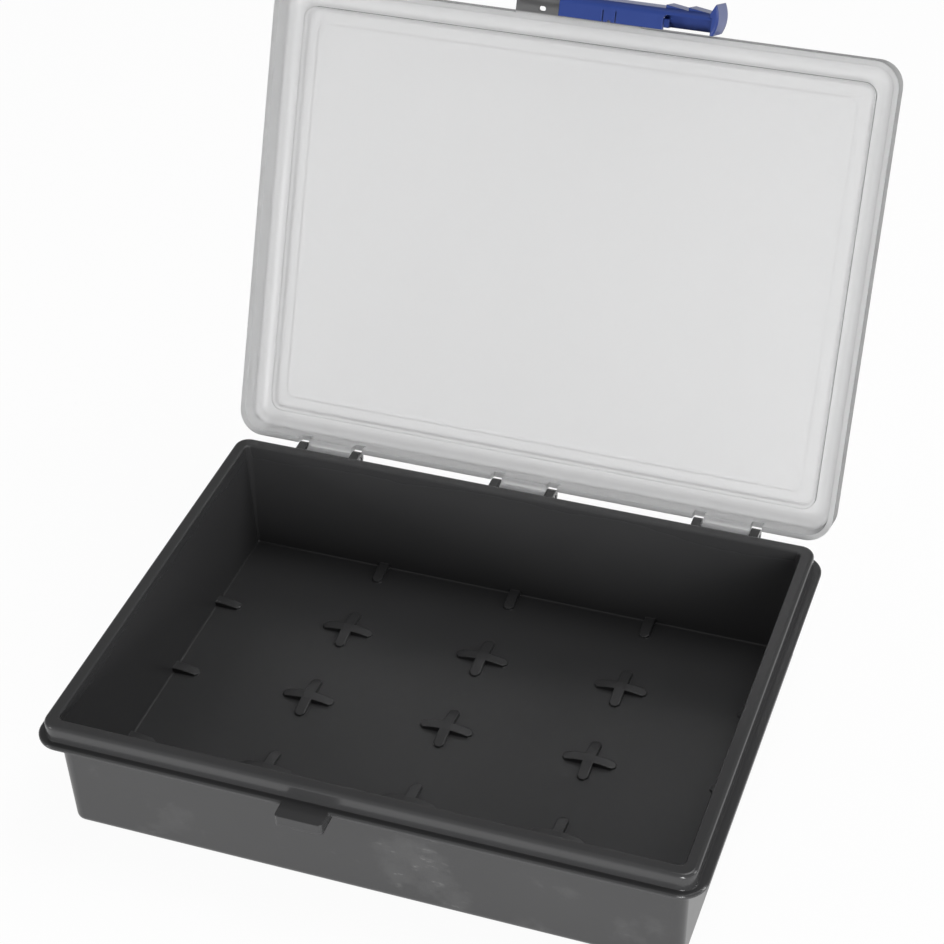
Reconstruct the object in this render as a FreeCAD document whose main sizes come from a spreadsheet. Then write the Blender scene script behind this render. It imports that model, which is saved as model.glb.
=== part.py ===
"""Storage box: a moulded tray, a clear lid on three pinned hinges, and a latch that slides on the lid.

The frame is in millimetres with +Z up and +X along the hinge line. The origin is the centre of the
tray's underside. The pieces stand as in use with the box open: the lid rests against its stop and the
latch is slid to the right, clear of the tray's tab.
"""
import FreeCAD, Part
import math
import operator
import os
import types
import Sketcher

# Cells along each side of the floor, hinges along the back, and saw teeth on the latch
CELL_COUNT = 4
HINGE_COUNT = 3
GRIP_COUNT = 2

# Driving dimensions in millimetres, angles in degrees
SIZES = {
    # Tray
    "cell_length": 55.0,
    "cell_width": 40.0,
    "inner_height": 47.6,
    "wall_outset": 1.5,
    "wall": 1.8,
    "floor_thickness": 2.2,
    "corner_radius": 0.8,
    "wall_corner_radius": 4.0,
    "base_edge_radius": 3.0,
    "floor_edge_bevel": 0.4,
    "lip_thickness": 4.8,
    "lip_height": 6.6,
    "lip_corner_radius": 5.5,
    "lip_edge_radius": 1.4,
    "lip_inner_bevel": 0.4,
    "flange_reach": 2.7,
    "flange_end_reach": 3.35,
    "flange_corner_radius": 9.7,
    "flange_thickness": 1.8,
    "flange_edge_bevel": 0.5,
    "rib_length": 20.0,
    "rib_width": 4.0,
    "rib_height": 2.0,
    "rib_end_height": 0.7,
    "rib_tip_bevel": 1.2,
    # Catch shared by the tray's tab and the lid's tongue
    "catch_reach": 6.4,
    "tab_length": 17.0,
    "tab_height": 4.6,
    "tab_corner_radius": 1.2,
    # Hinges
    "hinge_inset": 39.2,
    "hinge_setback": 2.8,
    "hinge_rise": 1.2,
    "ear_gap": 19.0,
    "ear_thickness": 3.4,
    "ear_radius": 3.2,
    "pin_diameter": 2.5,
    "pin_clearance": 0.04,
    "pin_recess": 0.3,
    "pin_chamfer": 0.3,
    "knuckle_radius": 2.6,
    "knuckle_clearance": 0.5,
    "notch_clearance": 0.5,
    "stop_clearance": 0.2,
    "open_angle": 113.4,
    # Lid
    "lid_height": 13.8,
    "lid_wall": 2.0,
    "lid_lean": 0.2,
    "hollow_lean": 0.7,
    "lid_edge_radius": 2.5,
    "lid_inner_radius": 5.5,
    "seat_gap": 0.3,
    "panel_margin": 8.9,
    "panel_web": 1.2,
    "panel_drop": 3.0,
    "panel_corner_radius": 5.0,
    "panel_edge_bevel": 0.4,
    "label_margin": 4.9,
    "label_depth": 0.4,
    # Tongue and rail on the lid's front
    "tongue_length": 48.0,
    "tongue_thickness": 2.0,
    "tongue_rise": 0.2,
    "tongue_root_radius": 1.0,
    "rail_height": 4.3,
    "rail_head": 1.8,
    "rail_stem": 1.6,
    "rail_overhang": 1.8,
    "seat_hole_place": 14.0,
    "seat_hole_length": 2.9,
    "seat_hole_width": 1.8,
    # Latch
    "slide_clearance": 0.3,
    "slider_length": 59.0,
    "slider_wall": 2.2,
    "slider_back_wall": 1.4,
    "slider_edge_radius": 0.9,
    "slider_nose_radius": 2.6,
    "latch_travel": 24.0,
    "latch_gap": 2.75,
    "sleeve_length": 39.0,
    "window_corner_radius": 1.5,
    "end_bulge": 1.4,
    "end_wall": 1.0,
    "end_edge_bevel": 0.7,
    "fin_reach": 3.6,
    "fin_thickness": 1.8,
    "grip_pitch": 8.3,
    "grip_height": 1.2,
    "grip_inset": 2.4,
    "finger_place": 19.0,
    "finger_width": 4.4,
    "finger_length": 4.2,
    "finger_slot": 0.4,
    "finger_notch_radius": 0.8,
    # How far a shape runs into or past its neighbour
    "overrun": 0.5,
}

# How close two coordinates are when they count as the same
NEAR = 1e-4

SIGNS = {"+": operator.add, "-": operator.sub, "*": operator.mul, "/": operator.truediv}


class Size:
    """A size or place that knows its value and the expression on the sheet that gives it."""

    def __init__(self, value, text):
        self.value = value
        self.text = text

    def __add__(self, other):
        return combine(self, "+", other)

    def __radd__(self, other):
        return combine(other, "+", self)

    def __sub__(self, other):
        return combine(self, "-", other)

    def __rsub__(self, other):
        return combine(other, "-", self)

    def __mul__(self, other):
        return combine(self, "*", other)

    def __rmul__(self, other):
        return combine(other, "*", self)

    def __truediv__(self, other):
        return combine(self, "/", other)

    def __neg__(self):
        return Size(-self.value, f"(-{self.text})")


def as_size(item):
    return item if isinstance(item, Size) else Size(float(item), str(item))


def combine(left, sign, right):
    first, second = as_size(left), as_size(right)
    return Size(SIGNS[sign](first.value, second.value), f"({first.text} {sign} {second.text})")


def bulge_radius(chord, rise):
    """The radius of an arc that rises so far over a chord."""
    return (chord * chord / 4 + rise * rise) / (2 * rise)


doc = FreeCAD.newDocument("storage_box")
sheet = doc.addObject("Spreadsheet::Sheet", "Sizes")
for line, (name, number) in enumerate(SIZES.items(), start=1):
    sheet.set(f"A{line}", name)
    sheet.set(f"B{line}", str(number))
    sheet.setAlias(f"B{line}", name)
doc.recompute()
size = types.SimpleNamespace(**{name: Size(number, f"Sizes.{name}") for name, number in SIZES.items()})

# Tray, from the floor up to the lip
floor_length = CELL_COUNT * size.cell_length
floor_width = CELL_COUNT * size.cell_width
rim_length = floor_length + 2 * size.wall_outset
rim_width = floor_width + 2 * size.wall_outset
lip_length = rim_length + 2 * size.lip_thickness
lip_width = rim_width + 2 * size.lip_thickness
flange_length = lip_length + 2 * size.flange_end_reach
flange_width = lip_width + 2 * size.flange_reach
lip_level = size.floor_thickness + size.inner_height
flange_level = lip_level - size.lip_height
flange_base = flange_level - size.flange_thickness
wall_slope = size.wall_outset / size.inner_height
cavity_length = floor_length - 2 * wall_slope * size.floor_thickness
cavity_width = floor_width - 2 * wall_slope * size.floor_thickness
base_length = cavity_length + 2 * size.wall
base_width = cavity_width + 2 * size.wall
shoulder_width = base_width + 2 * wall_slope * flange_base

# Hinges, in the tray's frame
hinge_pitch = (flange_length - 2 * size.hinge_inset) / (HINGE_COUNT - 1)
first_hinge = size.hinge_inset - flange_length / 2
hinge_y = flange_width / 2 + size.hinge_setback
hinge_z = flange_level + size.hinge_rise
bore_radius = size.pin_diameter / 2 + size.pin_clearance

# Lid, shut, with the hinge axis as its origin
skirt_level = size.seat_gap - size.hinge_rise
lid_top = skirt_level + size.lid_height
lid_front = hinge_y + flange_width / 2
plate_level = lid_top - size.lid_wall
panel_level = plate_level - size.panel_drop
tongue_level = skirt_level + size.tongue_rise
tongue_top = tongue_level + size.tongue_thickness
lid_slope = size.lid_lean / size.lid_height
hollow_slope = size.hollow_lean / size.lid_height
rail_top = tongue_top + size.rail_height
head_level = rail_top - size.rail_head
stem_back = size.catch_reach - size.rail_stem
head_back = stem_back - size.rail_overhang

# Latch, in the lid's frame, with reaches counted forward from the lid's front face
slider_inner = size.catch_reach + size.slide_clearance
slider_front = slider_inner + size.slider_wall
slider_back = head_back - size.slide_clearance - size.slider_back_wall
sleeve_ceiling = rail_top + size.slide_clearance
slider_top = sleeve_ceiling + size.slider_wall
sleeve_floor = -size.hinge_rise - size.tab_height - size.slide_clearance
slider_base = sleeve_floor - size.slider_wall
sleeve_end = size.sleeve_length - size.slider_length / 2
end_start = size.slider_length / 2 - size.end_bulge
end_radius = bulge_radius(slider_front + size.fin_reach - slider_back, size.end_bulge)
tab_right = size.latch_travel - size.slider_length / 2 - size.latch_gap


def forward(reach):
    """A place in front of the shut lid's front face, as a coordinate along Y."""
    return -lid_front - reach


def bind(item, prop, value):
    item.setExpression(prop, as_size(value).text)


def flat_point(across, up):
    return FreeCAD.Vector(as_size(across).value, as_size(up).value, 0)


def origin_item(body, role):
    return next(item for item in body.Origin.OriginFeatures if item.Role == role)


def new_sketch(body, name, role, level=0, shift=0):
    """A sketch on one of the body's planes, lifted by level and moved by shift along its own Y."""
    sketch = body.newObject("Sketcher::SketchObject", name)
    sketch.AttachmentSupport = [(origin_item(body, role), "")]
    sketch.MapMode = "FlatFace"
    bind(sketch, "AttachmentOffset.Base.y", shift)
    bind(sketch, "AttachmentOffset.Base.z", level)
    return sketch


def fix(sketch, kind, parts, value):
    """Adds a dimension to a sketch and ties it to the sheet."""
    index = sketch.addConstraint(Sketcher.Constraint(kind, *parts, as_size(value).value))
    bind(sketch, f"Constraints[{index}]", value)


def fix_point(sketch, edge, end, across, up):
    fix(sketch, "DistanceX", (-1, 1, edge, end), across)
    fix(sketch, "DistanceY", (-1, 1, edge, end), up)


def add_line(sketch, start, end):
    return sketch.addGeometry(Part.LineSegment(start, end), False)


def add_arc(sketch, start, end, radius):
    """An arc of less than half a turn, counter-clockwise from start to end."""
    chord = end - start
    inward = FreeCAD.Vector(-chord.y, chord.x, 0).normalize()
    centre = (start + end) / 2 + inward * math.sqrt(radius ** 2 - (chord.Length / 2) ** 2)
    begin = math.atan2(start.y - centre.y, start.x - centre.x)
    turn = 2 * math.asin(chord.Length / 2 / radius)
    circle = Part.Circle(centre, FreeCAD.Vector(0, 0, 1), radius)
    return sketch.addGeometry(Part.ArcOfCircle(circle, begin, begin + turn), False)


def add_outline(sketch, corners):
    """A closed outline, counter-clockwise. A third entry rounds the way to the next corner."""
    places = [flat_point(*corner[:2]) for corner in corners]
    edges = []
    for start, end, corner in zip(places, places[1:] + places[:1], corners):
        if len(corner) == 3:
            edges.append(add_arc(sketch, start, end, corner[2].value))
        else:
            edges.append(add_line(sketch, start, end))
    for edge, following, corner in zip(edges, edges[1:] + edges[:1], corners):
        sketch.addConstraint(Sketcher.Constraint("Coincident", edge, 2, following, 1))
        fix_point(sketch, edge, 1, corner[0], corner[1])
        if len(corner) == 3:
            fix(sketch, "Radius", (edge,), corner[2])
    return sketch


def box_outline(sketch, low_x, high_x, low_y, high_y):
    return add_outline(sketch, [(low_x, low_y), (high_x, low_y), (high_x, high_y), (low_x, high_y)])


def add_disc(sketch, across, up, radius):
    circle = Part.Circle(flat_point(across, up), FreeCAD.Vector(0, 0, 1), radius.value)
    edge = sketch.addGeometry(circle, False)
    fix(sketch, "Radius", (edge,), radius)
    fix_point(sketch, edge, 3, across, up)
    return sketch


def rounded_plate(body, name, length, width, radius, level=0, shift=0):
    """A rectangle with rounded corners, centred on the sketch's origin."""
    sketch = new_sketch(body, name, "XY_Plane", level, shift)
    half_x = length.value / 2
    half_y = width.value / 2
    in_x = half_x - radius.value
    in_y = half_y - radius.value
    sides = [((-in_x, -half_y), (in_x, -half_y)), ((half_x, -in_y), (half_x, in_y)),
             ((in_x, half_y), (-in_x, half_y)), ((-half_x, in_y), (-half_x, -in_y))]
    lines = [add_line(sketch, flat_point(*start), flat_point(*end)) for start, end in sides]
    arcs = [add_arc(sketch, flat_point(*side[1]), flat_point(*following[0]), radius.value)
            for side, following in zip(sides, sides[1:] + sides[:1])]
    for line, arc, following in zip(lines, arcs, lines[1:] + lines[:1]):
        sketch.addConstraint(Sketcher.Constraint("Tangent", line, 2, arc, 1))
        sketch.addConstraint(Sketcher.Constraint("Tangent", arc, 2, following, 1))
    bottom, right, top, left = lines
    for direction, pair in (("Horizontal", (bottom, top)), ("Vertical", (right, left))):
        for line in pair:
            sketch.addConstraint(Sketcher.Constraint(direction, line))
    for arc in arcs[1:]:
        sketch.addConstraint(Sketcher.Constraint("Equal", arcs[0], arc))
    sketch.addConstraint(Sketcher.Constraint("Symmetric", bottom, 1, top, 1, -1, 1))
    fix(sketch, "Radius", (arcs[0],), radius)
    fix(sketch, "DistanceX", (left, 1, right, 1), length)
    fix(sketch, "DistanceY", (bottom, 1, top, 1), width)
    return sketch


def volume_of(body):
    return body.Tip.Shape.Volume if body.Tip else 0


def settle(body, feature):
    """Recomputes with the feature as the body's last, and stops if it failed."""
    body.Tip = feature
    doc.recompute()
    if "Invalid" in feature.State or "Error" in feature.State:
        raise ValueError(f"{feature.Name} failed")
    return feature


def extrude(body, kind, name, sketch, length, both_ways=False, turned=False):
    """A pad or a pocket of one sketch."""
    before = volume_of(body)
    feature = body.newObject(f"PartDesign::{kind}", name)
    feature.Profile = (sketch, [""])
    feature.SideType = "Symmetric" if both_ways else "One side"
    feature.Reversed = turned
    bind(feature, "Length", length)
    settle(body, feature)
    gain = feature.Shape.Volume - before
    if (gain if kind == "Pad" else -gain) <= 0:
        raise ValueError(f"{name} changed nothing")
    return feature


def repeat(body, name, originals, axis, span, count):
    """A row of features along one axis of the body."""
    feature = body.newObject("PartDesign::LinearPattern", name)
    feature.Originals = originals
    feature.Direction = (origin_item(body, axis), [""])
    feature.Occurrences = count
    bind(feature, "Length", span)
    return settle(body, feature)


def dress(body, kind, name, items, wanted):
    """A feature on the faces or edges of the body so far that a test picks."""
    base = body.Tip
    shapes = base.Shape.Faces if items == "Face" else base.Shape.Edges
    picked = [f"{items}{index}" for index, shape in enumerate(shapes, start=1) if wanted(shape)]
    if not picked:
        raise ValueError(f"{name} found nothing to work on")
    feature = body.newObject(f"PartDesign::{kind}", name)
    feature.Base = (base, picked)
    return feature


def round_edges(body, name, wanted, radius):
    feature = dress(body, "Fillet", name, "Edge", wanted)
    bind(feature, "Radius", radius)
    return settle(body, feature)


def bevel_edges(body, name, wanted, width):
    feature = dress(body, "Chamfer", name, "Edge", wanted)
    bind(feature, "Size", width)
    return settle(body, feature)


def lean_walls(body, name, length, width, slope, turned, shift=0):
    """Leans the upright faces of a rounded outline about the body's base plane."""
    feature = dress(body, "Draft", name, "Face", on_walls(length, width, shift))
    feature.NeutralPlane = (origin_item(body, "XY_Plane"), [""])
    feature.Reversed = turned
    bind(feature, "Angle", Size(math.degrees(math.atan(slope.value)), f"atan({slope.text})"))
    return settle(body, feature)


def rim_test(length, width, shift=0):
    """Tells whether a vertex lies on the straight sides of an outline seen from above."""
    half_x = length.value / 2
    half_y = width.value / 2
    middle = as_size(shift).value
    return lambda vertex: abs(max(abs(vertex.X) - half_x, abs(vertex.Y - middle) - half_y)) < NEAR


def on_walls(length, width, shift=0):
    on_rim = rim_test(length, width, shift)
    return lambda face: face.BoundBox.ZLength > NEAR and all(on_rim(vertex) for vertex in face.Vertexes)


def on_outline(level, length, width, shift=0):
    """Picks the edges of a rounded plate's outline at one level."""
    on_rim = rim_test(length, width, shift)
    height = as_size(level).value
    return lambda edge: all(on_rim(vertex) and abs(vertex.Z - height) < NEAR for vertex in edge.Vertexes)


def along_x(across, up):
    """Picks the edges that run along X through one point of the section."""
    def wanted(edge):
        box = edge.BoundBox
        off = math.hypot(box.YMin - across.value, box.ZMin - up.value)
        return off + box.YLength + box.ZLength < NEAR < box.XLength
    return wanted


def any_of(*tests):
    return lambda shape: any(test(shape) for test in tests)


def new_body(label):
    body = doc.addObject("PartDesign::Body", label)
    body.Label = label
    return body


def make_tray():
    body = new_body("tray")
    make_shell(body)
    make_tab(body)
    make_ears(body)
    make_floor_ribs(body)
    return body


def make_shell(body):
    """Leaning walls with a flange and a raised lip round the mouth."""
    base = rounded_plate(body, "base_plan", base_length, base_width, size.wall_corner_radius)
    extrude(body, "Pad", "walls", base, flange_base)
    lean_walls(body, "outer_lean", base_length, base_width, wall_slope, turned=True)
    flange = rounded_plate(body, "flange_plan", flange_length, flange_width, size.flange_corner_radius,
                           flange_base)
    extrude(body, "Pad", "flange", flange, size.flange_thickness)
    lip = rounded_plate(body, "lip_plan", lip_length, lip_width, size.lip_corner_radius, flange_level)
    extrude(body, "Pad", "lip", lip, size.lip_height)
    cavity = rounded_plate(body, "cavity_plan", cavity_length, cavity_width, size.corner_radius, lip_level)
    extrude(body, "Pocket", "cavity", cavity, size.inner_height)
    lean_walls(body, "inner_lean", cavity_length, cavity_width, wall_slope, turned=False)
    round_edges(body, "base_edge", on_outline(0, base_length, base_width), size.base_edge_radius)
    bevel_edges(body, "floor_edge", on_outline(size.floor_thickness, floor_length, floor_width),
                size.floor_edge_bevel)
    round_edges(body, "lip_edge", on_outline(lip_level, lip_length, lip_width), size.lip_edge_radius)
    bevel_edges(body, "lip_inner_edge", on_outline(lip_level, rim_length, rim_width), size.lip_inner_bevel)
    flange_edges = any_of(on_outline(flange_level, flange_length, flange_width),
                          on_outline(flange_base, flange_length, flange_width))
    bevel_edges(body, "flange_edge", flange_edges, size.flange_edge_bevel)


def make_tab(body):
    """The catch tab at the front, flush with the flange and rooted in the wall behind it."""
    front = -flange_width / 2 - size.catch_reach
    root = size.wall / 2 - shoulder_width / 2
    left = tab_right - size.tab_length
    turn = size.tab_corner_radius
    sketch = new_sketch(body, "tab_plan", "XY_Plane", flange_level)
    add_outline(sketch, [(left + turn, front), (tab_right - turn, front, turn), (tab_right, front + turn),
                         (tab_right, root), (left, root), (left, front + turn, turn)])
    extrude(body, "Pad", "tab", sketch, size.tab_height, turned=True)


def make_ears(body):
    """Two ears at each hinge: a web from the lip and wall, rounded about the pin."""
    root = rim_width / 2 + size.wall / 2
    slant_share = math.sqrt(1 / 2)
    slant = slant_share * size.ear_radius
    ears = []
    for side, face in (("left", -size.ear_gap / 2 - size.ear_thickness), ("right", size.ear_gap / 2)):
        place = first_hinge + face
        web = new_sketch(body, f"{side}_web_section", "YZ_Plane", place)
        add_outline(web, [(root, hinge_z - 2 * slant - hinge_y + root), (hinge_y + slant, hinge_z - slant),
                          (hinge_y, hinge_z + size.ear_radius), (root, hinge_z + size.ear_radius)])
        ears.append(extrude(body, "Pad", f"{side}_web", web, size.ear_thickness))
        eye = new_sketch(body, f"{side}_eye_section", "YZ_Plane", place)
        add_disc(eye, hinge_y, hinge_z, size.ear_radius)
        ears.append(extrude(body, "Pad", f"{side}_eye", eye, size.ear_thickness))
    repeat(body, "ears", ears, "X_Axis", (HINGE_COUNT - 1) * hinge_pitch, HINGE_COUNT)
    bore = add_disc(new_sketch(body, "bore_section", "YZ_Plane"), hinge_y, hinge_z, bore_radius)
    extrude(body, "Pocket", "pin_bores", bore, flange_length, both_ways=True)


def make_floor_ribs(body):
    """Arched crosses where the floor's cells meet, and half ribs of the same arch at the walls."""
    # A sketch on XZ faces -Y and one on YZ faces +X, so the first rows lie at opposite levels
    make_rib_rows(body, "lengthways", "XZ_Plane", size.cell_length, size.cell_width, "Y_Axis", 1)
    make_rib_rows(body, "crossways", "YZ_Plane", size.cell_width, size.cell_length, "X_Axis", -1)
    tip_low = size.floor_thickness.value
    tip_high = tip_low + size.rib_end_height.value

    def on_rib_tip(edge):
        box = edge.BoundBox
        off = abs(box.ZMin - tip_low) + abs(box.ZMax - tip_high)
        return off + box.XLength + box.YLength < NEAR

    bevel_edges(body, "rib_tips", on_rib_tip, size.rib_tip_bevel)


def make_rib_rows(body, name, plane, pitch, row_pitch, row_axis, facing):
    inner_count = CELL_COUNT - 1
    middle_index = (inner_count - 1) / 2
    half = size.rib_length / 2
    top = size.floor_thickness
    sunk = top - size.overrun
    crest = top + size.rib_height
    low = top + size.rib_end_height
    radius = bulge_radius(size.rib_length, size.rib_height - size.rib_end_height)
    sketch = new_sketch(body, f"{name}_arches", plane, facing * middle_index * row_pitch)
    for index in range(inner_count):
        place = (index - middle_index) * pitch
        add_outline(sketch, [(place - half, sunk), (place + half, sunk), (place + half, low, radius),
                             (place - half, low)])
    wall_face = CELL_COUNT * pitch / 2
    buried = wall_face + size.wall / 2
    tip = wall_face - half
    add_outline(sketch, [(-buried, sunk), (-tip, sunk), (-tip, low, radius), (-wall_face, crest),
                         (-buried, crest)])
    add_outline(sketch, [(tip, sunk), (buried, sunk), (buried, crest), (wall_face, crest, radius),
                         (tip, low)])
    arches = extrude(body, "Pad", f"{name}_ribs", sketch, size.rib_width, both_ways=True)
    repeat(body, f"{name}_rows", [arches], row_axis, (inner_count - 1) * row_pitch, inner_count)


def make_lid():
    """The lid is drawn shut, about the hinge axis, and its placement swings it open."""
    body = new_body("lid")
    make_lid_plate(body)
    make_lid_notches(body)
    make_knuckles(body)
    make_tongue(body)
    swing_open(body)
    return body


def swing_open(body):
    axis = FreeCAD.Vector(1, 0, 0)
    body.Placement = FreeCAD.Placement(FreeCAD.Vector(), FreeCAD.Rotation(axis, -size.open_angle.value))
    bind(body, "Placement.Base.y", hinge_y)
    bind(body, "Placement.Base.z", hinge_z)
    bind(body, "Placement.Rotation.Angle", -size.open_angle)


def make_lid_plate(body):
    """A shallow leaning shell with a panel that steps down inside and a label field on top."""
    def plan(name, inset, radius, level):
        length, width = flange_length - 2 * inset, flange_width - 2 * inset
        return rounded_plate(body, name, length, width, radius, level, -hinge_y)

    def edge_of(inset, level):
        return on_outline(level, flange_length - 2 * inset, flange_width - 2 * inset, -hinge_y)

    def lean_in(name, inset, slope, turned):
        length, width = flange_length - 2 * inset, flange_width - 2 * inset
        lean_walls(body, name, length, width, slope, turned, -hinge_y)

    # The walls lean about the hinge's level, so the outlines are drawn as they are there
    shell_inset = come_in(lid_slope, 0)
    hollow_inset = size.lid_wall + come_in(hollow_slope, 0)
    recess_inset = size.panel_margin + size.panel_web
    recess_corner = size.panel_corner_radius - size.panel_web
    recess_level = lid_top - size.panel_drop
    shell = plan("shell_plan", shell_inset, size.flange_corner_radius - shell_inset, skirt_level)
    extrude(body, "Pad", "shell", shell, size.lid_height)
    lean_in("shell_lean", shell_inset, lid_slope, turned=False)
    hollow = plan("hollow_plan", hollow_inset, size.flange_corner_radius - hollow_inset, skirt_level)
    extrude(body, "Pocket", "hollow", hollow, size.lid_height - size.lid_wall, turned=True)
    lean_in("hollow_lean", hollow_inset, hollow_slope, turned=True)
    panel = plan("panel_plan", size.panel_margin, size.panel_corner_radius, plate_level)
    extrude(body, "Pad", "panel", panel, size.panel_drop, turned=True)
    recess = plan("recess_plan", recess_inset, recess_corner, lid_top)
    extrude(body, "Pocket", "recess", recess, size.panel_drop)
    label = plan("label_plan", recess_inset + size.label_margin, recess_corner, recess_level)
    extrude(body, "Pocket", "label_field", label, size.label_depth)
    round_edges(body, "top_edge", edge_of(come_in(lid_slope, lid_top), lid_top), size.lid_edge_radius)
    plate_inset = size.lid_wall + come_in(hollow_slope, plate_level)
    round_edges(body, "inner_edge", edge_of(plate_inset, plate_level), size.lid_inner_radius)
    bevel_edges(body, "panel_edge", edge_of(size.panel_margin, panel_level), size.panel_edge_bevel)


def come_in(slope, level):
    """How far a wall of the lid has leaned in at a level."""
    return slope * (level - skirt_level)


def make_lid_notches(body):
    """Slots in the back skirt that let the ears through."""
    low = skirt_level - size.overrun
    high = size.ear_radius + size.notch_clearance
    inner = size.ear_gap / 2 - size.knuckle_clearance
    outer = size.ear_gap / 2 + size.ear_thickness + size.notch_clearance
    sketch = new_sketch(body, "notch_front", "XZ_Plane")
    box_outline(sketch, first_hinge - outer, first_hinge - inner, low, high)
    box_outline(sketch, first_hinge + inner, first_hinge + outer, low, high)
    # The sketch faces -Y, which is the way that the cut has to go
    depth = size.hinge_setback + size.lid_wall + size.hollow_lean + size.overrun
    notches = extrude(body, "Pocket", "notches", sketch, depth, turned=True)
    repeat(body, "notch_row", [notches], "X_Axis", (HINGE_COUNT - 1) * hinge_pitch, HINGE_COUNT)


def make_knuckles(body):
    """A barrel on an arm between each pair of ears, with a heel that stops the lid on the flange."""
    width = size.ear_gap - 2 * size.knuckle_clearance
    arm = new_sketch(body, "arm_section", "YZ_Plane", first_hinge)
    box_outline(arm, -size.hinge_setback - size.lid_wall / 2, 0, skirt_level, size.knuckle_radius)
    barrel = new_sketch(body, "barrel_section", "YZ_Plane", first_hinge)
    add_disc(barrel, 0, 0, size.knuckle_radius)
    # Drawn as it stands with the lid open, facing the back edge of the flange
    heel = new_sketch(body, "heel_section", "YZ_Plane", first_hinge)
    turn = FreeCAD.Rotation(FreeCAD.Vector(0, 0, 1), size.open_angle.value)
    heel.AttachmentOffset = FreeCAD.Placement(heel.AttachmentOffset.Base, turn)
    bind(heel, "AttachmentOffset.Rotation.Angle", size.open_angle)
    foot = -size.hinge_rise - size.flange_thickness
    box_outline(heel, size.stop_clearance - size.hinge_setback, 0, foot, 0)
    pieces_of_one = [extrude(body, "Pad", "arm", arm, width, both_ways=True),
                     extrude(body, "Pad", "barrel", barrel, width, both_ways=True),
                     extrude(body, "Pad", "heel", heel, width, both_ways=True)]
    repeat(body, "knuckles", pieces_of_one, "X_Axis", (HINGE_COUNT - 1) * hinge_pitch, HINGE_COUNT)
    bore = add_disc(new_sketch(body, "bore_section", "YZ_Plane"), 0, 0, bore_radius)
    extrude(body, "Pocket", "pin_bores", bore, flange_length, both_ways=True)


def section_outline(sketch, points):
    """An outline on the YZ plane from reaches in front of the lid and levels."""
    return add_outline(sketch, [(forward(reach), level) for reach, level in points])


def make_tongue(body):
    """A tongue that lies on the tray's tab, with a hooked rail on its front edge for the latch."""
    root = -size.lid_wall / 2
    front = size.catch_reach
    sketch = new_sketch(body, "tongue_section", "YZ_Plane")
    section_outline(sketch, [(root, tongue_level), (root, tongue_top), (stem_back, tongue_top),
                             (stem_back, head_level), (head_back, head_level), (head_back, rail_top),
                             (front, rail_top), (front, tongue_level)])
    extrude(body, "Pad", "tongue", sketch, size.tongue_length, both_ways=True)
    wall_face = come_in(lid_slope, tongue_top) - lid_front
    round_edges(body, "tongue_root", along_x(wall_face, tongue_top), size.tongue_root_radius)
    make_seat_hole(body)


def make_seat_hole(body):
    """A short slot through the tongue, left of its middle."""
    middle = forward(stem_back / 2)
    turn = size.seat_hole_width / 2
    left = turn - size.seat_hole_place - size.seat_hole_length / 2
    right = size.seat_hole_length / 2 - size.seat_hole_place - turn
    sketch = new_sketch(body, "seat_hole_plan", "XY_Plane", tongue_top)
    add_outline(sketch, [(left, middle - turn), (right, middle - turn, turn), (right + turn, middle, turn),
                         (right, middle + turn), (left, middle + turn, turn), (left - turn, middle, turn)])
    extrude(body, "Pocket", "seat_hole", sketch, size.tongue_thickness)


def make_slider():
    """The latch is drawn at its locked place in the middle, and its placement slides it open."""
    body = new_body("latch_slider")
    make_sleeve(body)
    make_slider_end(body)
    make_grips(body)
    make_finger(body)
    swing_open(body)
    bind(body, "Placement.Base.x", size.latch_travel)
    return body


def make_sleeve(body):
    """A channel hooked on the rail. Past its floor, only the front wall and the ceiling run on."""
    leg_front = slider_back + size.slider_back_wall
    foot_front = stem_back - size.slide_clearance
    foot_top = head_level - size.slide_clearance
    foot_level = tongue_top + size.slide_clearance
    sketch = new_sketch(body, "sleeve_section", "YZ_Plane")
    section_outline(sketch, [(slider_front, slider_base), (slider_back, slider_base),
                             (slider_back, sleeve_floor), (slider_inner, sleeve_floor),
                             (slider_inner, sleeve_ceiling), (leg_front, sleeve_ceiling),
                             (leg_front, foot_top), (foot_front, foot_top), (foot_front, foot_level),
                             (slider_back, foot_level), (slider_back, slider_top),
                             (slider_front, slider_top)])
    extrude(body, "Pad", "sleeve", sketch, size.slider_length, both_ways=True)
    nose = along_x(forward(slider_front), slider_base)
    round_edges(body, "sleeve_nose", nose, size.slider_nose_radius)
    top_edges = any_of(along_x(forward(slider_front), slider_top), along_x(forward(slider_back), slider_top))
    round_edges(body, "sleeve_edges", top_edges, size.slider_edge_radius)
    window = new_sketch(body, "window_plan", "XY_Plane", sleeve_ceiling)
    back = forward(slider_back - size.overrun)
    inside = forward(slider_inner)
    turn = size.window_corner_radius
    end = size.slider_length / 2
    add_outline(window, [(sleeve_end + turn, inside), (end, inside), (end, back), (sleeve_end, back),
                         (sleeve_end, inside + turn, turn)])
    extrude(body, "Pocket", "window", window, sleeve_ceiling - slider_base + size.overrun)


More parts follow.
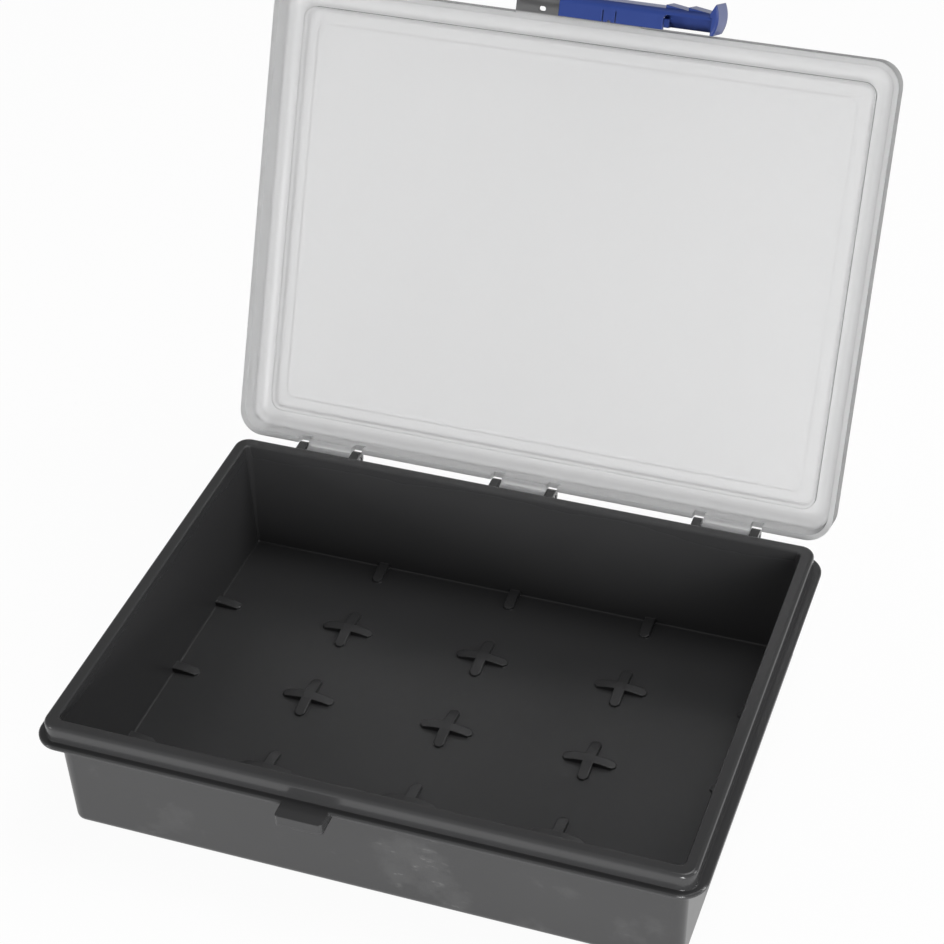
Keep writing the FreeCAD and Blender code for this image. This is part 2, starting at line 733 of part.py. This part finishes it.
def make_slider_end(body):
    """The rounded end wall, drawn out into a fin for the thumb."""
    height = slider_top - slider_base
    trim = new_sketch(body, "end_trim_plan", "XY_Plane", slider_top + size.overrun)
    box_outline(trim, end_start - size.overrun, size.slider_length / 2 + size.overrun,
                forward(slider_front + size.overrun), forward(slider_back - size.overrun))
    extrude(body, "Pocket", "end_trim", trim, height + 2 * size.overrun)
    fin_front = forward(slider_front + size.fin_reach)
    fin_back = end_start - size.fin_thickness
    wall_back = end_start - size.end_wall
    joint = forward(slider_front - size.slider_wall / 2)
    plan = new_sketch(body, "end_plan", "XY_Plane", slider_base)
    add_outline(plan, [(end_start, fin_front, end_radius), (end_start, forward(slider_back)),
                       (wall_back, forward(slider_back)), (wall_back, joint), (fin_back, joint),
                       (fin_back, forward(slider_front))])
    extrude(body, "Pad", "end_wall", plan, height)

    def on_end_arc(edge):
        level_with = min(abs(edge.BoundBox.ZMin - level.value) for level in (slider_base, slider_top))
        round_edge = edge.Curve.TypeId == "Part::GeomCircle"
        return level_with < NEAR and round_edge and abs(edge.Curve.Radius - end_radius.value) < NEAR

    bevel_edges(body, "end_edges", on_end_arc, size.end_edge_bevel)


def make_grips(body):
    """Shallow saw teeth on the front for the thumb to push on."""
    joint = forward(slider_front - size.slider_wall / 2)
    for tooth in range(GRIP_COUNT):
        start = sleeve_end + tooth * size.grip_pitch
        end = start + size.grip_pitch
        sketch = new_sketch(body, f"grip_{tooth}_plan", "XY_Plane", slider_base + size.grip_inset)
        add_outline(sketch, [(start, forward(slider_front + size.grip_height)), (end, forward(slider_front)),
                             (end - size.overrun, joint), (start, joint)])
        extrude(body, "Pad", f"grip_{tooth}", sketch, slider_top - slider_base - 2 * size.grip_inset)


def make_finger(body):
    """A spring finger in the sleeve's floor that steadies the latch on the tab."""
    middle = size.finger_place - size.slider_length / 2
    back = forward(slider_back - size.overrun)
    root = forward(slider_back + size.finger_length)
    near = size.finger_width / 2
    far = near + size.finger_slot
    sketch = new_sketch(body, "finger_plan", "XY_Plane", sleeve_floor + size.overrun)
    box_outline(sketch, middle - far, middle - near, root, back)
    box_outline(sketch, middle + near, middle + far, root, back)
    add_disc(sketch, middle, forward(slider_back), size.finger_notch_radius)
    extrude(body, "Pocket", "finger", sketch, size.slider_wall + 2 * size.overrun)


def make_pin(label, index):
    """A plain steel pin, chamfered at both ends."""
    body = new_body(label)
    length = size.ear_gap + 2 * size.ear_thickness - 2 * size.pin_recess
    sketch = add_disc(new_sketch(body, "pin_section", "YZ_Plane"), 0, 0, size.pin_diameter / 2)
    extrude(body, "Pad", "pin", sketch, length, both_ways=True)
    bevel_edges(body, "pin_ends", lambda edge: edge.BoundBox.XLength < NEAR, size.pin_chamfer)
    bind(body, "Placement.Base.x", first_hinge + index * hinge_pitch)
    bind(body, "Placement.Base.y", hinge_y)
    bind(body, "Placement.Base.z", hinge_z)
    return body


pins = [make_pin(f"hinge_pin_{side}", index) for index, side in enumerate(("left", "centre", "right"))]
pieces = [make_tray(), make_lid(), make_slider()] + pins
doc.recompute()

failed = [item.Name for item in doc.Objects if "Invalid" in item.State or "Error" in item.State]
if failed:
    raise ValueError(f"failed: {failed}")
for piece in pieces:
    if piece.Shape.isNull() or not piece.Shape.isValid() or len(piece.Shape.Solids) != 1:
        raise ValueError(f"{piece.Label} is not one valid solid")

os.makedirs("parts", exist_ok=True)
for piece in pieces:
    piece.Shape.exportStep(f"parts/{piece.Label}.step")
    print(f"{piece.Label}: {piece.Shape.Volume:.0f} mm3")
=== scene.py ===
"""The open storage box in a white studio: moulded plastics, floor, light and camera."""
import bpy
from mathutils import Matrix, Vector

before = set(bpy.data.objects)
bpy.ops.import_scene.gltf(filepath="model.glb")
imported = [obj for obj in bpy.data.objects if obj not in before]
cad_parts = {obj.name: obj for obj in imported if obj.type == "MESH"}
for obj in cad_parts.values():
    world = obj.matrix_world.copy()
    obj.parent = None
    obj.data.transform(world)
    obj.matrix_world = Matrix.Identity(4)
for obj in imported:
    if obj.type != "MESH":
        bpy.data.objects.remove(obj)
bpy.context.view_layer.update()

# Camera, in metres and pixels, fitted to the photograph's frame
PICTURE_SIDE = 944
FOCAL_PIXELS = 2400.2
CAMERA_PLACE = Vector((0.2367, -0.5956, 0.6193))
CAMERA_FORWARD = Vector((-0.27713, 0.73968, -0.61324))
CAMERA_RIGHT = Vector((0.94344, 0.33038, -0.02785))
CAMERA_NEAR = 0.01
SENSOR_MM = 36.0

# The open lid's own direction away from its hinge,
# and how far along it the tongue starts and is whole, where its colour is painted dark as shade
LID_ALONG = (0, 0.3971, 0.9178)
TONGUE_SPAN = (0.2581, 0.2588)

# Where the tray's outer faces begin, out from its middle,
# and the height at which the outer walls end under the flange
OUTER_ENDS = (0.1113, 0.1117)
OUTER_SIDES = (0.0813, 0.0817)
UNDER_FLANGE = (0.0395, 0.0405)

# Colours as linear light
TRAY_DARK = (0.034, 0.034, 0.035, 1)
TRAY_LIGHT = (0.043, 0.043, 0.044, 1)
TRAY_RUBBED = (0.12, 0.12, 0.12, 1)
LID_CLEAR = (0.755, 0.755, 0.757, 1)
# Painted shade: the lid's colour on faces seen at a slant, standing in for dim light on them
LID_EDGE_SHADE = (0.15, 0.15, 0.152, 1)
LID_DEPTH = (0.55, 0.555, 0.56, 1)
# Painted shade: the lid's tongue coloured dark grey
TONGUE_SHADE = (0.16, 0.16, 0.162, 1)
LATCH_DARK = (0.016, 0.036, 0.172, 1)
LATCH_LIGHT = (0.023, 0.050, 0.215, 1)
PIN_DARK = (0.42, 0.42, 0.43, 1)
PIN_LIGHT = (0.58, 0.58, 0.59, 1)
FLOOR_WHITE = (0.90, 0.90, 0.90, 1)
WORLD_WHITE = (1, 1, 1, 1)

# Roughness, from the shiniest place to the dullest, and how much smoother the tray's rim is
TRAY_SHEEN = (0.24, 0.35)
RIM_POLISH = 0.11
LID_SHEEN = (0.40, 0.50)
LATCH_SHEEN = (0.30, 0.40)
PIN_SHEEN = (0.25, 0.40)

# Soft radii of the moulded edges, and depths of the grain, in metres
TRAY_EDGE = 0.0007
LID_EDGE = 0.0007
LATCH_EDGE = 0.0005
EDGE_SAMPLES = 6
TRAY_GRAIN = 0.00003
LID_RIPPLE = 0.00002
LATCH_GRAIN = 0.00002

# Scuffs: noise levels at which a patch and its streaks begin and are full, and how strong they are
PATCH_LEVELS = (0.55, 0.75)
PATCH_STRENGTH = 0.4
STREAK_LEVELS = (0.60, 0.67)
STREAK_GAIN = 5
STREAK_STRETCH = (0.4, 0.4, 1)

# The slant at which the clear lid's painted shade begins, and is darkest: faces seen at a slant are
# coloured darker as shade
EDGE_SHADE_SLANT = (0.66, 0.92)
LID_TRANSMISSION = 0.8
LID_IOR = 1.5
LID_DENSITY = 40

# Studio: how far the floor glows, the world as a light and as it is seen, and the softboxes
# with their place, side in metres and watts
FLOOR_SIDE = 8
FLOOR_GLOW = 0.95
WORLD_LIGHT = 0.28
WORLD_SEEN = 1.0
LIT_POINT = Vector((0, 0, 0.05))
SOFTBOXES = {
    "front_softbox": ((0.5, -1.3, 0.2), 0.45, 18.5),
    "side_softbox": ((1.2, 0.2, 0.5), 0.35, 4),
    "fill_softbox": ((-1.0, -0.9, 0.25), 0.25, 4),
    "top_softbox": ((0.4, 0.4, 1.5), 0.8, 8.5),
}


def new_material(name):
    """A material with an empty surface: the material, its node tree and its output."""
    material = bpy.data.materials.new(name)
    material.use_nodes = True
    tree = material.node_tree
    tree.nodes.clear()
    return material, tree, tree.nodes.new("ShaderNodeOutputMaterial")


def add_shader(tree, output):
    """The shader of a plastic or metal, joined to the surface."""
    shader = tree.nodes.new("ShaderNodeBsdfPrincipled")
    tree.links.new(shader.outputs["BSDF"], output.inputs["Surface"])
    return shader


def object_place(tree):
    """Places on the piece, in metres in the frame of the CAD."""
    return tree.nodes.new("ShaderNodeTexCoord").outputs["Object"]


def stretched(tree, place, scale):
    """Places scaled along each axis, which draws a pattern out where the scale is small."""
    stretch = tree.nodes.new("ShaderNodeMapping")
    stretch.inputs["Scale"].default_value = scale
    tree.links.new(place, stretch.inputs["Vector"])
    return stretch.outputs["Vector"]


def add_noise(tree, place, scale, detail, roughness=0.5):
    """Noise with a number of waves per metre."""
    noise = tree.nodes.new("ShaderNodeTexNoise")
    noise.inputs["Scale"].default_value = scale
    noise.inputs["Detail"].default_value = detail
    noise.inputs["Roughness"].default_value = roughness
    tree.links.new(place, noise.inputs["Vector"])
    return noise.outputs["Fac"]


def add_range(tree, value, result, source=(0.0, 1.0)):
    """Maps a value from the source range to the result range, held at both ends."""
    ramp = tree.nodes.new("ShaderNodeMapRange")
    for socket, number in zip(("From Min", "From Max", "To Min", "To Max"), source + result):
        ramp.inputs[socket].default_value = number
    tree.links.new(value, ramp.inputs["Value"])
    return ramp.outputs["Result"]


def fill_socket(tree, socket, value):
    """Joins a node's output to a socket, or sets a plain value there."""
    if hasattr(value, "is_output"):
        tree.links.new(value, socket)
    else:
        socket.default_value = value


def add_mix(tree, share, first, second):
    """Goes from the first colour to the second by a share."""
    mix = tree.nodes.new("ShaderNodeMix")
    mix.data_type = "RGBA"
    tree.links.new(share, mix.inputs["Factor"])
    for name, colour in (("A", first), ("B", second)):
        socket = next(i for i in mix.inputs if i.name == name and i.type == "RGBA")
        fill_socket(tree, socket, colour)
    return next(o for o in mix.outputs if o.type == "RGBA")


def add_math(tree, operation, *values):
    """One sum on one or two values."""
    step = tree.nodes.new("ShaderNodeMath")
    step.operation = operation
    for socket, value in zip(step.inputs, values):
        fill_socket(tree, socket, value)
    return step.outputs[0]


def add_bump(tree, shader, height, depth, strength, edge_radius):
    """Grain on the surface, over a soft radius on the edges."""
    edge = tree.nodes.new("ShaderNodeBevel")
    edge.samples = EDGE_SAMPLES
    edge.inputs["Radius"].default_value = edge_radius
    bump = tree.nodes.new("ShaderNodeBump")
    bump.inputs["Distance"].default_value = depth
    bump.inputs["Strength"].default_value = strength
    tree.links.new(edge.outputs["Normal"], bump.inputs["Normal"])
    tree.links.new(height, bump.inputs["Height"])
    tree.links.new(bump.outputs["Normal"], shader.inputs["Normal"])


def tray_zones(tree, place):
    """The outer walls under the flange, and the lip with its flange: 1 there, and 0 elsewhere."""
    split = tree.nodes.new("ShaderNodeSeparateXYZ")
    tree.links.new(place, split.inputs[0])
    across = add_math(tree, "ABSOLUTE", split.outputs["X"])
    along = add_math(tree, "ABSOLUTE", split.outputs["Y"])
    ends = add_range(tree, across, (0, 1), OUTER_ENDS)
    sides = add_range(tree, along, (0, 1), OUTER_SIDES)
    outside = add_math(tree, "MAXIMUM", ends, sides)
    under = add_range(tree, split.outputs["Z"], (1, 0), UNDER_FLANGE)
    walls = add_math(tree, "MULTIPLY", outside, under)
    return walls, add_math(tree, "SUBTRACT", outside, walls)


def add_scuffs(tree, place):
    """Broad rubbed patches, with short pale streaks inside them."""
    cloud = add_noise(tree, place, 34, 7, 0.68)
    patch = add_range(tree, cloud, (0, PATCH_STRENGTH), PATCH_LEVELS)
    fleck = add_noise(tree, stretched(tree, place, STREAK_STRETCH), 380, 4, 0.6)
    streak = add_range(tree, fleck, (1, STREAK_GAIN), STREAK_LEVELS)
    return add_math(tree, "MULTIPLY", patch, streak)


def tray_plastic():
    """Charcoal polypropylene: fine spark-eroded grain, a smoother rim, and scuffed outer walls."""
    material, tree, output = new_material("tray_charcoal")
    shader = add_shader(tree, output)
    place = object_place(tree)
    cloud = add_noise(tree, place, 18, 4)
    grain = add_noise(tree, place, 2600, 3, 0.6)
    walls, rim = tray_zones(tree, place)
    rubbed = add_math(tree, "MULTIPLY", add_scuffs(tree, place), walls)
    plain = add_mix(tree, cloud, TRAY_DARK, TRAY_LIGHT)
    tree.links.new(add_mix(tree, rubbed, plain, TRAY_RUBBED), shader.inputs["Base Color"])
    dulled = add_math(tree, "ADD", add_range(tree, cloud, TRAY_SHEEN), rubbed)
    polish = add_range(tree, rim, (0, RIM_POLISH))
    tree.links.new(add_math(tree, "SUBTRACT", dulled, polish), shader.inputs["Roughness"])
    shader.inputs["Specular IOR Level"].default_value = 0.40
    add_bump(tree, shader, grain, TRAY_GRAIN, 0.4, TRAY_EDGE)
    return material


def tongue_share(tree, place):
    """1 on the tongue in front of the lid's skirt, where the colour is painted dark as shade, and 0
    elsewhere.
    """
    along = tree.nodes.new("ShaderNodeVectorMath")
    along.operation = "DOT_PRODUCT"
    along.inputs[1].default_value = LID_ALONG
    tree.links.new(place, along.inputs[0])
    return add_range(tree, along.outputs["Value"], (0, 1), TONGUE_SPAN)


def lid_plastic():
    """Clear styrene, a little grey in the thickness, with a soft moulded surface, and painted shade:
    a darker colour where it is seen at a slant, and on the tongue.
    """
    material, tree, output = new_material("lid_clear")
    shader = add_shader(tree, output)
    place = object_place(tree)
    haze = add_noise(tree, place, 30, 3)
    ripple = add_noise(tree, place, 45, 2)
    # Painted shade: the lid's colour goes darker on faces seen at a slant
    slant = tree.nodes.new("ShaderNodeLayerWeight").outputs["Facing"]
    rim = add_range(tree, slant, (0, 1), EDGE_SHADE_SLANT)
    clear = add_mix(tree, rim, LID_CLEAR, LID_EDGE_SHADE)
    # Painted shade: the tongue coloured dark grey
    tongue_shaded = add_mix(tree, tongue_share(tree, place), clear, TONGUE_SHADE)
    tree.links.new(tongue_shaded, shader.inputs["Base Color"])
    tree.links.new(add_range(tree, haze, LID_SHEEN), shader.inputs["Roughness"])
    shader.inputs["Transmission Weight"].default_value = LID_TRANSMISSION
    shader.inputs["IOR"].default_value = LID_IOR
    add_bump(tree, shader, ripple, LID_RIPPLE, 0.3, LID_EDGE)
    depth = tree.nodes.new("ShaderNodeVolumeAbsorption")
    depth.inputs["Color"].default_value = LID_DEPTH
    depth.inputs["Density"].default_value = LID_DENSITY
    tree.links.new(depth.outputs["Volume"], output.inputs["Volume"])
    return material


def latch_plastic():
    """Deep blue acetal with a satin moulded face."""
    material, tree, output = new_material("latch_blue")
    shader = add_shader(tree, output)
    place = object_place(tree)
    cloud = add_noise(tree, place, 60, 3)
    grain = add_noise(tree, place, 2200, 2)
    tree.links.new(add_mix(tree, cloud, LATCH_DARK, LATCH_LIGHT), shader.inputs["Base Color"])
    tree.links.new(add_range(tree, cloud, LATCH_SHEEN), shader.inputs["Roughness"])
    shader.inputs["Specular IOR Level"].default_value = 0.35
    add_bump(tree, shader, grain, LATCH_GRAIN, 0.3, LATCH_EDGE)
    return material


def pin_steel():
    """Drawn steel wire, with fine lines along the pin."""
    material, tree, output = new_material("pin_drawn_steel")
    shader = add_shader(tree, output)
    drawn = stretched(tree, object_place(tree), (0.05, 1, 1))
    lines = add_noise(tree, drawn, 3000, 2)
    tree.links.new(add_mix(tree, lines, PIN_DARK, PIN_LIGHT), shader.inputs["Base Color"])
    tree.links.new(add_range(tree, lines, PIN_SHEEN), shader.inputs["Roughness"])
    shader.inputs["Metallic"].default_value = 1.0
    return material


def dress_nodes():
    """Gives each CAD piece its plastic or steel."""
    finishes = {"tray": tray_plastic(), "lid": lid_plastic(), "latch_slider": latch_plastic()}
    steel = pin_steel()
    for side in ("left", "centre", "right"):
        finishes["hinge_pin_" + side] = steel
    for name, material in finishes.items():
        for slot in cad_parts[name].material_slots:
            slot.material = material


def ray_share(tree, *kinds):
    """1 for rays of the named kinds, and 0 for the rest."""
    path = tree.nodes.new("ShaderNodeLightPath")
    share = path.outputs[f"Is {kinds[0]} Ray"]
    for kind in kinds[1:]:
        share = add_math(tree, "MAXIMUM", share, path.outputs[f"Is {kind} Ray"])
    return share


def make_floor():
    """A white table top, which keeps a faint soft shadow."""
    bpy.ops.object.select_all(action="DESELECT")
    bpy.ops.mesh.primitive_plane_add(size=FLOOR_SIDE)
    floor = bpy.context.object
    floor.name = "studio_floor"
    material, tree, output = new_material("floor_white")
    matt = tree.nodes.new("ShaderNodeBsdfDiffuse")
    matt.inputs["Color"].default_value = FLOOR_WHITE
    glow = tree.nodes.new("ShaderNodeEmission")
    seen = ray_share(tree, "Camera", "Glossy", "Transmission")
    blend = tree.nodes.new("ShaderNodeMixShader")
    tree.links.new(add_range(tree, seen, (0.0, FLOOR_GLOW)), blend.inputs[0])
    tree.links.new(matt.outputs[0], blend.inputs[1])
    tree.links.new(glow.outputs[0], blend.inputs[2])
    tree.links.new(blend.outputs[0], output.inputs["Surface"])
    floor.data.materials.append(material)


def make_world():
    """A surround that is white where it is seen, also through the lid, and a dim light elsewhere."""
    world = bpy.data.worlds.new("studio_world")
    world.use_nodes = True
    tree = world.node_tree
    background = tree.nodes["Background"]
    background.inputs["Color"].default_value = WORLD_WHITE
    seen = ray_share(tree, "Camera", "Transmission")
    strength = add_range(tree, seen, (WORLD_LIGHT, WORLD_SEEN))
    tree.links.new(strength, background.inputs["Strength"])
    bpy.context.scene.world = world


def make_lights():
    """Square lamps that face the box."""
    for name, (place, side, watts) in SOFTBOXES.items():
        lamp = bpy.data.lights.new(name, "AREA")
        lamp.size = side
        lamp.energy = watts
        holder = bpy.data.objects.new(name, lamp)
        holder.location = place
        holder.rotation_euler = (LIT_POINT - Vector(place)).to_track_quat("-Z", "Y").to_euler()
        bpy.context.scene.collection.objects.link(holder)


def make_camera():
    """A long lens on the photograph's line of sight."""
    camera = bpy.data.cameras.new("photo_camera")
    camera.sensor_width = SENSOR_MM
    camera.lens = FOCAL_PIXELS / PICTURE_SIDE * SENSOR_MM
    camera.clip_start = CAMERA_NEAR
    holder = bpy.data.objects.new("photo_camera", camera)
    forward = CAMERA_FORWARD.normalized()
    right = (CAMERA_RIGHT - CAMERA_RIGHT.dot(forward) * forward).normalized()
    turn = Matrix((right, right.cross(forward), -forward)).transposed().to_4x4()
    holder.matrix_world = Matrix.Translation(CAMERA_PLACE) @ turn
    bpy.context.scene.collection.objects.link(holder)
    bpy.context.scene.camera = holder


dress_nodes()
make_floor()
make_world()
make_lights()
make_camera()
bpy.context.scene.view_settings.view_transform = "Standard"
